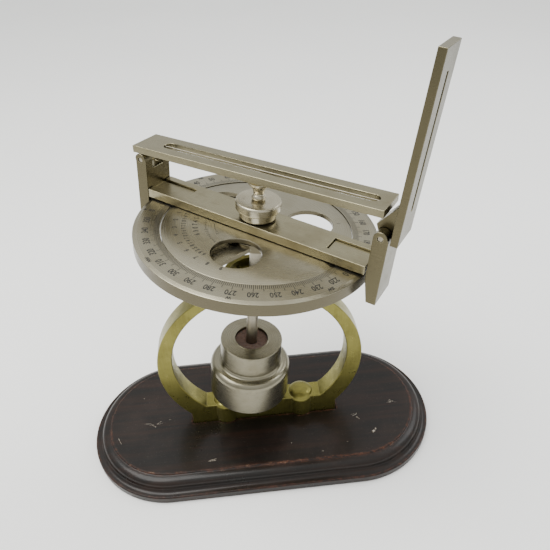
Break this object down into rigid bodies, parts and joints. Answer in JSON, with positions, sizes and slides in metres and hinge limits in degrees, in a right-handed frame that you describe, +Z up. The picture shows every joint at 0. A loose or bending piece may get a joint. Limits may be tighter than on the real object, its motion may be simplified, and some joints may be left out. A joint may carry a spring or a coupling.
{
  "type": "gimballed pelorus on a stand",
  "caption": "Pelorus: a graduated dial with a folding-vane sight bar, balanced by a counterweight in a gimbal on a brass ring stand with a wooden plinth.",
  "frame": {"origin": "centre of the plinth's flat underside", "axes": "+Z up; +X along the plinth's long axis, to the right seen from the front; +Y to the rear, along the ring's axis"},
  "size_m": [0.2724, 0.1521, 0.3125],
  "materials": {
    "wood": "near-black stained hardwood, satin, worn at the edges",
    "brass": "cast yellow brass, dull, satin",
    "nickel": "polished nickel plate over brass",
    "knob": "polished nickel plate over brass",
    "silver": "satin silver-grey metal, slightly yellowed",
    "steel": "plain turned steel",
    "felt": "brown felt",
    "wire": "drawn wire"
  },
  "bodies": {
    "stand": {"plinth": "wood", "ring_yoke": "brass", "hold_down_screw_left": "steel", "hold_down_screw_right": "steel", "pivot_screw_front": "steel", "pivot_screw_rear": "steel", "pivot_lock_nut_front": "steel", "pivot_lock_nut_rear": "steel"},
    "gimbal": {"gimbal_ring": "brass", "gimbal_pin_left": "steel", "gimbal_pin_right": "steel"},
    "pendulum": {"pendulum_shaft": "steel", "gimbal_hub": "steel", "counterweight": "nickel", "weight_felt": "felt", "weight_nut": "steel", "inner_disc": "silver", "centre_bush": "steel", "thrust_washer": "steel"},
    "dial": {"graduated_dial": "silver"},
    "bar": {"sight_bar": "silver", "left_bracket": "silver", "right_bracket": "silver", "left_hinge_pin": "steel", "right_hinge_pin": "steel", "left_bracket_screw_1": "steel", "left_bracket_screw_2": "steel", "right_bracket_screw_1": "steel", "right_bracket_screw_2": "steel"},
    "object_vane": {"object_vane": "silver", "sight_wire": "wire"},
    "eye_vane": {"eye_vane": "silver"},
    "clamp_nut": {"clamp_nut": "knob"},
    "lock_screw": {"lock_screw": "knob"}
  },
  "joints": [
    {"name": "gimbal_outer_swing", "type": "hinge", "parent": "stand", "child": "gimbal", "pos_m": [0.0016, 0, 0.15], "axis": [0, 1, 0], "range_deg": [-23.8, 12.2]},
    {"name": "gimbal_inner_swing", "type": "hinge", "parent": "gimbal", "child": "pendulum", "pos_m": [0.0016, 0, 0.15], "axis": [0.9949, 0, -0.1011], "range_deg": [-16.8, 19.2]},
    {"name": "dial_turn", "type": "hinge", "parent": "pendulum", "child": "dial", "pos_m": [0.00603, 0.00092, 0.19357], "axis": [0.101, 0.0209, 0.9947], "continuous": true},
    {"name": "bar_turn", "type": "hinge", "parent": "pendulum", "child": "bar", "pos_m": [0.00603, 0.00092, 0.19357], "axis": [0.101, 0.0209, 0.9947], "continuous": true},
    {"name": "object_vane_raise", "type": "hinge", "parent": "bar", "child": "object_vane", "pos_m": [-0.05726, 0.04825, 0.22473], "axis": [-0.5732, -0.816, 0.0754], "range_deg": [0, 86.8]},
    {"name": "eye_vane_lean", "type": "hinge", "parent": "bar", "child": "eye_vane", "pos_m": [0.07458, -0.04532, 0.21432], "axis": [0.5732, 0.816, -0.0754], "range_deg": [0, 12]},
    {"name": "clamp_nut_turn", "type": "hinge", "parent": "pendulum", "child": "clamp_nut", "pos_m": [0.00603, 0.00092, 0.19357], "axis": [0.101, 0.0209, 0.9947], "range_deg": [0, 360]},
    {"name": "lock_screw_turn", "type": "hinge", "parent": "clamp_nut", "child": "lock_screw", "pos_m": [0.00603, 0.00092, 0.19357], "axis": [0.101, 0.0209, 0.9947], "range_deg": [0, 540]}
  ]
}
